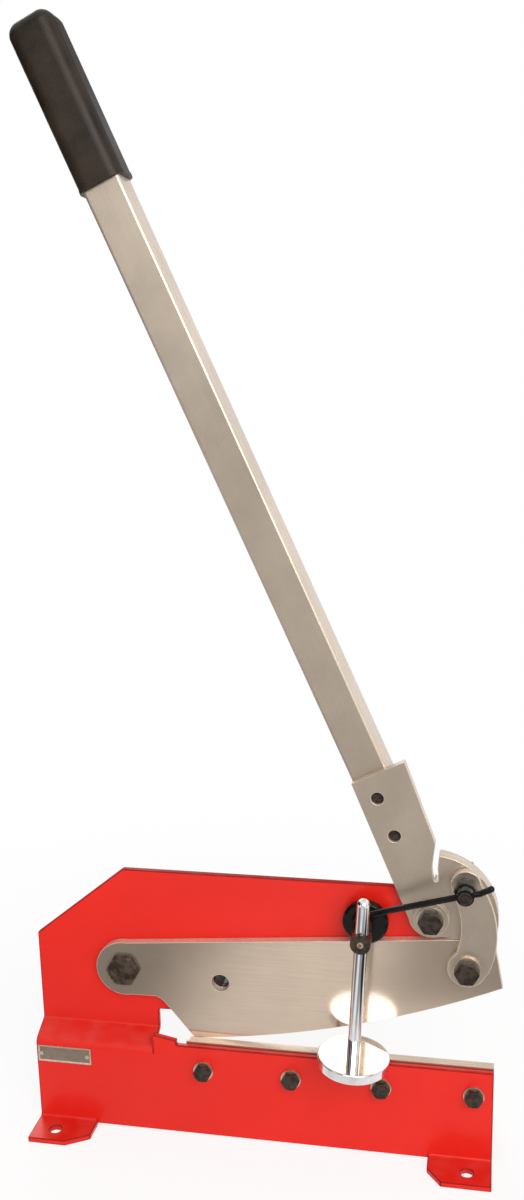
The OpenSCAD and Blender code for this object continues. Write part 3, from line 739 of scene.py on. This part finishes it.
def thread(bolt, nut, radius, turns):
    """A ridge of thread wound on the end of a bolt, from its nut's face outwards."""
    low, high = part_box(nut)
    start = high.y
    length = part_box(bolt)[1].y - start
    depth = THREAD_DEPTH * radius
    pitch = (length - 2 * depth) / turns
    centre = Vector(((low.x + high.x) / 2, start + depth, (low.z + high.z) / 2))
    bpy.ops.object.select_all(action="DESELECT")
    bpy.ops.mesh.primitive_circle_add(vertices=THREAD_SIDES, radius=min(depth, 0.45 * pitch), location=centre)
    piece = newest("thread_" + bolt)
    edit(piece)
    bpy.ops.transform.translate(value=(radius - THREAD_SUNK * depth, 0, 0))
    close()
    apply_modifier(
        piece, "SCREW", axis="Y", angle=2 * math.pi, screw_offset=pitch, iterations=turns,
        steps=THREAD_STEPS, render_steps=THREAD_STEPS, use_smooth_shade=True,
    )
    edit(piece)
    bpy.ops.mesh.fill_holes(sides=THREAD_SIDES)
    bpy.ops.mesh.normals_make_consistent(inside=False)
    close()
    settle(piece)
    paint(piece, "bolt")
    smooth(piece)
    finish_piece(piece, BODY_OF[bolt], SLOT_OF[bolt])


def bead(name, start, end, radius):
    """An enamelled weld bead on the frame from one point to another, with the ripples of its passes."""
    curve = bpy.data.curves.new(name, "CURVE")
    curve.dimensions = "3D"
    curve.bevel_depth = radius
    curve.bevel_resolution = 3
    curve.use_fill_caps = True
    line = curve.splines.new("POLY")
    steps = max(2, round((end - start).length / (RIPPLE / RIPPLE_STATIONS)))
    line.points.add(steps)
    for i, point in enumerate(line.points):
        taper = min(1.0, 0.55 + 0.15 * min(i, steps - i))
        point.co = (*start.lerp(end, i / steps), 1)
        point.radius = taper * (1 + RIPPLE_SWELL * math.sin(2 * math.pi * i / RIPPLE_STATIONS))
    piece = bpy.data.objects.new(name, curve)
    bpy.context.collection.objects.link(piece)
    only(piece)
    bpy.ops.object.convert(target="MESH")
    piece = bpy.context.view_layer.objects.active
    paint(piece, "weld")
    bpy.ops.object.shade_smooth()
    finish_piece(piece, "frame", "frame_paint")


def foot_beads(side):
    """The weld beads of one rear foot and of its web, each a little short of the corners."""
    low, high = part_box("rear_foot_" + side)
    face = low.y
    top = high.z
    start = Vector((low.x + 3 * MM, face, top))
    bead(f"weld_{side}_foot_top", start, Vector((high.x - 3 * MM, face, top)), FOOT_WELD)
    inner = high.x if side == "left" else low.x
    start = Vector((inner, face, top - 4 * MM))
    bead(f"weld_{side}_foot_side", start, Vector((inner, face, 12 * MM)), FOOT_WELD)
    leg = face + PLATE
    web = low.x + PLATE if side == "left" else high.x - PLATE
    start = Vector((web, leg, top - 3 * MM))
    bead(f"weld_{side}_web_leg", start, Vector((web, leg, PLATE + 6 * MM)), WEB_WELD)
    start = Vector((web, leg + 6 * MM, PLATE))
    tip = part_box("rear_gussets")[1].y
    bead(f"weld_{side}_web_foot", start, Vector((web, tip - 2 * MM, PLATE)), WEB_WELD)


def paint_rims(plate):
    """Painted shade on the upper plate's cut rim: the darker red on its rim, and black lacquer inside its bar
    hole.
    """
    low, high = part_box("bar_die")
    middle = (low + high) / 2
    radius = (high.x - low.x) / 2
    # Black lacquer for the bar hole's wall: painted shade in the hole
    plate.data.materials.append(MATERIAL["hook"])
    for side in plate.data.polygons:
        away = side.center - middle
        # Rim faces above the neck take the darker red as painted shade; those inside the bar hole take black
        # lacquer
        if abs(side.normal.y) < RIM_NORMAL and side.center.z > NECK_TOP:
            side.material_index = 2 if math.hypot(away.x, away.z) < radius else 1


def nodes_in(slot):
    """The solids of one material slot."""
    return [node for node, name in SLOT_OF.items() if name == slot]


# Operators


class SHEAR_OT_materials(bpy.types.Operator):
    """Builds the shared node groups and the materials"""

    bl_idname = "shear.materials"
    bl_label = "Materials"

    def execute(self, context):
        make_materials(context.scene)
        return {"FINISHED"}


class SHEAR_OT_frame_plates(bpy.types.Operator):
    """Enamels the frame plate, its rear feet and their webs"""

    bl_idname = "shear.frame_plates"
    bl_label = "Frame plates"

    def execute(self, context):
        width = context.scene.shear_paint.edge_round
        for node in nodes_in("frame_paint"):
            # The rounded edges take the darker red: painted shade along the edges
            plate = dress(node, width, "enamel", "enamel_edge", segments=3)
            if node == "frame_plate":
                paint_rims(plate)
        return {"FINISHED"}


class SHEAR_OT_foot_welds(bpy.types.Operator):
    """Lays the weld beads that hold the rear feet and their webs"""

    bl_idname = "shear.foot_welds"
    bl_label = "Foot welds"

    def execute(self, context):
        for side in ("left", "right"):
            foot_beads(side)
        return {"FINISHED"}


class SHEAR_OT_blades(bpy.types.Operator):
    """Grinds the two blades"""

    bl_idname = "shear.blades"
    bl_label = "Blades"

    def execute(self, context):
        width = context.scene.shear_steel.edge_round
        # The blades' cut rims and rounded edges take the lighter steel: a painted highlight
        dress("upper_blade", width, "blade", "blade_edge", rim=True)
        dress("lower_blade", 0.6 * width, "blade", "blade_edge", rim=True)
        dress("blade_bush", BUSH_EDGE, "bronze")
        return {"FINISHED"}


class SHEAR_OT_lever(bpy.types.Operator):
    """Finishes the lever's tube, bracket, ear plate and hub bush"""

    bl_idname = "shear.lever"
    bl_label = "Lever"

    def execute(self, context):
        width = context.scene.shear_steel.edge_round
        # The bracket's and ear's rims and rounded edges take the lighter steel: a painted highlight
        dress("lever_bracket", width, "bracket", "steel_edge", segments=3, rim=True)
        dress("ear_doubler", width, "bracket", "steel_edge", segments=3, rim=True)
        tube = dress("lever_tube", 0.4 * width, "tube", "steel_edge")
        # Faces towards the right take the lighter steel: a painted highlight on the tube's right side
        for side in tube.data.polygons:
            across = side.normal.dot(LEVER_RIGHT)
            side.material_index = int(across > TUBE_LEAN and abs(side.normal.y) < TUBE_FACING)
        dress("hub_bush", BUSH_EDGE, "bronze")
        return {"FINISHED"}


class SHEAR_OT_grip(bpy.types.Operator):
    """Models the moulded grip, with its domed end and the lip at its open end"""

    bl_idname = "shear.grip"
    bl_label = "Grip"

    def execute(self, context):
        grip = context.scene.shear_grip
        dress("lever_grip", 0, "grip")
        width = GRIP_WIDTH + 2 * grip.lip
        place = LEVER_PIVOT + GRIP_START * LEVER_UP + TUBE_SHIFT * LEVER_RIGHT + Vector((0, TUBE_MIDDLE, 0))
        bpy.ops.object.select_all(action="DESELECT")
        bpy.ops.mesh.primitive_plane_add(size=width, location=place, rotation=(0, -LEVER_TILT, 0))
        lip = newest("grip_lip")
        edit(lip)
        bpy.ops.mesh.bevel(offset=GRIP_CORNER, segments=8, affect="VERTICES")
        bpy.ops.mesh.select_all(action="SELECT")
        bpy.ops.mesh.inset(thickness=(width - TUBE_WIDTH) / 2 - LIP_GAP)
        bpy.ops.mesh.delete(type="FACE")
        bpy.ops.mesh.select_all(action="SELECT")
        rise = tuple(grip.lip_height * LEVER_UP)
        bpy.ops.mesh.extrude_region_move(TRANSFORM_OT_translate={"value": rise})
        bpy.ops.mesh.select_all(action="SELECT")
        bpy.ops.mesh.normals_make_consistent(inside=False)
        close()
        settle(lip)
        bevel(lip, 0.8 * grip.lip)
        paint(lip, "grip")
        smooth(lip)
        finish_piece(lip, "lever", "grip_rubber")
        return {"FINISHED"}


class SHEAR_OT_link(bpy.types.Operator):
    """Finishes the curved link"""

    bl_idname = "shear.link"
    bl_label = "Link"

    def execute(self, context):
        width = 1.5 * context.scene.shear_steel.edge_round
        # The link's rim and rounded edges take the lighter steel: a painted highlight
        dress("link_plate", width, "bracket", "steel_edge", segments=3, rim=True)
        return {"FINISHED"}


class SHEAR_OT_hook(bpy.types.Operator):
    """Lacquers the safety hook, the clamp's disc and its spacer"""

    bl_idname = "shear.hook"
    bl_label = "Safety hook and clamp disc"

    def execute(self, context):
        dress("safety_hook", 0, "hook")
        dress("clamp_disc", DISC_EDGE, "hook")
        dress("clamp_spacer", BUSH_EDGE, "hook")
        return {"FINISHED"}


class SHEAR_OT_holddown(bpy.types.Operator):
    """Polishes the hold-down's rod and foot"""

    bl_idname = "shear.holddown"
    bl_label = "Hold-down"

    def execute(self, context):
        dress("holddown_rod", BUSH_EDGE, "chrome")
        dress("holddown_foot", DISC_EDGE, "chrome", segments=3)
        return {"FINISHED"}


class SHEAR_OT_fasteners(bpy.types.Operator):
    """Finishes every bolt, nut, pin and washer"""

    bl_idname = "shear.fasteners"
    bl_label = "Fasteners"

    def execute(self, context):
        for node in nodes_in("black_bolts"):
            dress(node, BOLT_EDGE, FINISH_OF.get(node, "bolt"))
        for node in nodes_in("zinc_washers"):
            dress(node, BOLT_EDGE, "washer")
        for bolt, (nut, radius) in THREADED.items():
            thread(bolt, nut, radius, context.scene.shear_fasteners.turns)
        return {"FINISHED"}


class SHEAR_OT_name_plate(bpy.types.Operator):
    """Models the bare name plate with its raised rim and rivets"""

    bl_idname = "shear.name_plate"
    bl_label = "Name plate"

    def execute(self, context):
        low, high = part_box("name_plate")
        bpy.ops.object.select_all(action="DESELECT")
        bpy.ops.mesh.primitive_cube_add(size=1, location=(low + high) / 2, scale=high - low)
        plate = newest("name_plate_rimmed")
        settle(plate)
        paint(plate, "label_rim", "label")
        edit(plate)
        bpy.ops.mesh.select_all(action="DESELECT")
        close()
        for side in plate.data.polygons:
            side.select = side.normal.y < -0.5
        bpy.ops.object.mode_set(mode="EDIT")
        bpy.ops.mesh.inset(thickness=RIM_WIDTH)
        bpy.ops.mesh.inset(thickness=RIM_STEP, depth=-RIM_STEP)
        plate.active_material_index = 1
        bpy.ops.object.material_slot_assign()
        close()
        bevel(plate, RIM_EDGE, limit=RIM_SHARP)
        smooth(plate)
        finish_piece(plate, "frame", "bare_label", "name_plate")
        dress("plate_rivets", RIVET_EDGE, "label_rim")
        return {"FINISHED"}


# Stage


def turn_to(holder, place, target):
    """Turns a lamp or a card, at its place, to face a point."""
    holder.rotation_mode = "QUATERNION"
    holder.rotation_quaternion = (Vector(target) - Vector(place)).to_track_quat("-Z", "Y")


def area_lamp(name, place, target, size, power, colour):
    """A soft square lamp that faces a point."""
    lamp = bpy.data.lights.new(name, "AREA")
    lamp.size = size
    lamp.energy = power
    lamp.color = colour
    holder = bpy.data.objects.new(name, lamp)
    holder.location = place
    turn_to(holder, place, target)
    bpy.context.collection.objects.link(holder)


def seen_as_background(tree):
    """1 for rays from the camera, and for those that metal and glass send on."""
    path = tree.nodes.new("ShaderNodeLightPath")
    glossy = maths(tree, "MAXIMUM", path.outputs["Is Glossy Ray"], path.outputs["Is Transmission Ray"])
    return maths(tree, "MAXIMUM", path.outputs["Is Camera Ray"], glossy)


def glow(tree, tone):
    """An even grey or white that shows as it is, whatever the light."""
    node = tree.nodes.new("ShaderNodeEmission")
    node.inputs["Color"].default_value = (tone, tone, tone, 1)
    return node.outputs["Emission"]


def show_mixed(tree, share, first, second):
    """Sends a mix of two shaders to the material's output."""
    mix = tree.nodes.new("ShaderNodeMixShader")
    tree.links.new(share, mix.inputs["Fac"])
    tree.links.new(first, mix.inputs[1])
    tree.links.new(second, mix.inputs[2])
    tree.links.new(mix.outputs["Shader"], tree.nodes["Material Output"].inputs["Surface"])


def light_world(scene, ambient):
    """White where it is seen, and a soft even light on the object."""
    world = bpy.data.worlds.new("Studio")
    scene.world = world
    world.use_nodes = True
    tree = world.node_tree
    background = tree.nodes["Background"]
    background.inputs["Color"].default_value = (1, 1, 1, 1)
    strength = tree.nodes.new("ShaderNodeMapRange")
    strength.inputs["To Min"].default_value = ambient
    strength.inputs["To Max"].default_value = 1
    tree.links.new(seen_as_background(tree), strength.inputs["Value"])
    tree.links.new(strength.outputs["Result"], background.inputs["Strength"])


def lay_floor(size):
    """A white floor that keeps a faint shadow round the object, and fades to plain white away from it."""
    bpy.ops.object.select_all(action="DESELECT")
    bpy.ops.mesh.primitive_plane_add(size=size, location=(0, 0, 0))
    floor = newest("floor")
    material = bpy.data.materials.new("White floor")
    material.use_nodes = True
    tree = material.node_tree
    shader = tree.nodes["Principled BSDF"]
    shader.inputs["Base Color"].default_value = (0.96, 0.96, 0.96, 1)
    shader.inputs["Roughness"].default_value = 0.9
    shader.inputs["Specular IOR Level"].default_value = 0.0
    coordinates = tree.nodes.new("ShaderNodeTexCoord")
    distance = tree.nodes.new("ShaderNodeVectorMath")
    distance.operation = "LENGTH"
    tree.links.new(coordinates.outputs["Object"], distance.inputs[0])
    fade = tree.nodes.new("ShaderNodeMapRange")
    fade.interpolation_type = "SMOOTHSTEP"
    fade.inputs["From Min"].default_value = FADE_START
    fade.inputs["From Max"].default_value = FADE_END
    fade.inputs["To Min"].default_value = FADE_SHARE
    fade.inputs["To Max"].default_value = 1
    tree.links.new(distance.outputs["Value"], fade.inputs["Value"])
    share = maths(tree, "MULTIPLY", seen_as_background(tree), fade.outputs["Result"])
    show_mixed(tree, share, shader.outputs["BSDF"], glow(tree, 1))
    floor.data.materials.append(material)


def grey_card(name, place, target, width, height, tone):
    """A card with soft edges that only mirror-like surfaces see, to give them a tone to show."""
    bpy.ops.object.select_all(action="DESELECT")
    bpy.ops.mesh.primitive_plane_add(size=1, location=place)
    card = newest(name)
    card.scale = (width, height, 1)
    turn_to(card, place, target)
    material = bpy.data.materials.new(name)
    material.use_nodes = True
    tree = material.node_tree
    clear = tree.nodes.new("ShaderNodeBsdfTransparent")
    coordinates = tree.nodes.new("ShaderNodeTexCoord")
    split = tree.nodes.new("ShaderNodeSeparateXYZ")
    tree.links.new(coordinates.outputs["Object"], split.inputs[0])
    across = ramp(tree, maths(tree, "ABSOLUTE", split.outputs["X"], 0), 0.5, 0.25)
    along = ramp(tree, maths(tree, "ABSOLUTE", split.outputs["Y"], 0), 0.5, 0.25)
    show_mixed(tree, maths(tree, "MULTIPLY", across, along), clear.outputs["BSDF"], glow(tree, tone))
    card.data.materials.append(material)
    card.visible_camera = False
    card.visible_diffuse = False
    card.visible_shadow = False
    card.visible_transmission = False


def place_camera(scene):
    """The camera at the photograph's place, with its focal length and optical centre."""
    width, height = PHOTO_SIZE
    data = bpy.data.cameras.new("Camera")
    data.sensor_width = SENSOR
    data.lens = PHOTO_FOCAL / height * SENSOR
    data.shift_x = (width / 2 - PHOTO_CENTRE[0]) / height
    data.shift_y = (PHOTO_CENTRE[1] - height / 2) / height
    camera = bpy.data.objects.new("Camera", data)
    back = -CAMERA_FORWARD.normalized()
    right = CAMERA_UP.cross(back).normalized()
    up = back.cross(right)
    turn = Matrix((right, up, back)).transposed()
    camera.matrix_world = Matrix.LocRotScale(CAMERA_AT, turn.to_quaternion(), None)
    bpy.context.collection.objects.link(camera)
    scene.camera = camera


class SHEAR_OT_stage(bpy.types.Operator):
    """Sets up the floor, the lamps, the surroundings and the camera"""

    bl_idname = "shear.stage"
    bl_label = "Stage"

    def execute(self, context):
        scene = context.scene
        stage = scene.shear_stage
        middle = (CAD_BOX[0] + CAD_BOX[1]) / 2
        light_world(scene, stage.ambient)
        lay_floor(stage.floor)
        area_lamp("Key lamp", (1.3, -2.4, 1.9), middle, 1.8, stage.key, (1.0, 0.985, 0.96))
        area_lamp("Back lamp", (-1.2, 2.2, 2.0), middle, 1.6, stage.back, (1.0, 0.99, 0.97))
        for name, place, target, width, height, tone in CARDS:
            grey_card(name, place, target or middle, width, height, tone)
        scene.view_settings.view_transform = "Standard"
        place_camera(scene)
        return {"FINISHED"}


STEPS = (
    SHEAR_OT_materials, SHEAR_OT_frame_plates, SHEAR_OT_foot_welds, SHEAR_OT_blades, SHEAR_OT_lever,
    SHEAR_OT_grip, SHEAR_OT_link, SHEAR_OT_hook, SHEAR_OT_holddown, SHEAR_OT_fasteners,
    SHEAR_OT_name_plate, SHEAR_OT_stage,
)


class SHEAR_PT_sidebar(bpy.types.Panel):
    """Lists the steps that finish the shear, and its sizes and colours"""

    bl_idname = "SHEAR_PT_sidebar"
    bl_label = "Bench Lever Shear"
    bl_space_type = "VIEW_3D"
    bl_region_type = "UI"
    bl_category = "Shear"

    def draw(self, context):
        for step in STEPS:
            self.layout.operator(step.bl_idname)
        for name, group in SETTINGS.items():
            for label in group.__annotations__:
                self.layout.prop(getattr(context.scene, name), label)


def register():
    for name, group in SETTINGS.items():
        bpy.utils.register_class(group)
        setattr(bpy.types.Scene, name, PointerProperty(type=group))
    for step in STEPS:
        bpy.utils.register_class(step)
    bpy.utils.register_class(SHEAR_PT_sidebar)


def unregister():
    bpy.utils.unregister_class(SHEAR_PT_sidebar)
    for step in reversed(STEPS):
        bpy.utils.unregister_class(step)
    for name, group in SETTINGS.items():
        delattr(bpy.types.Scene, name)
        bpy.utils.unregister_class(group)


def main():
    register()
    bpy.ops.shear.materials()
    bpy.ops.shear.frame_plates()
    bpy.ops.shear.foot_welds()
    bpy.ops.shear.blades()
    bpy.ops.shear.lever()
    bpy.ops.shear.grip()
    bpy.ops.shear.link()
    bpy.ops.shear.hook()
    bpy.ops.shear.holddown()
    bpy.ops.shear.fasteners()
    bpy.ops.shear.name_plate()
    bpy.ops.shear.stage()


if __name__ == "__main__":
    main()
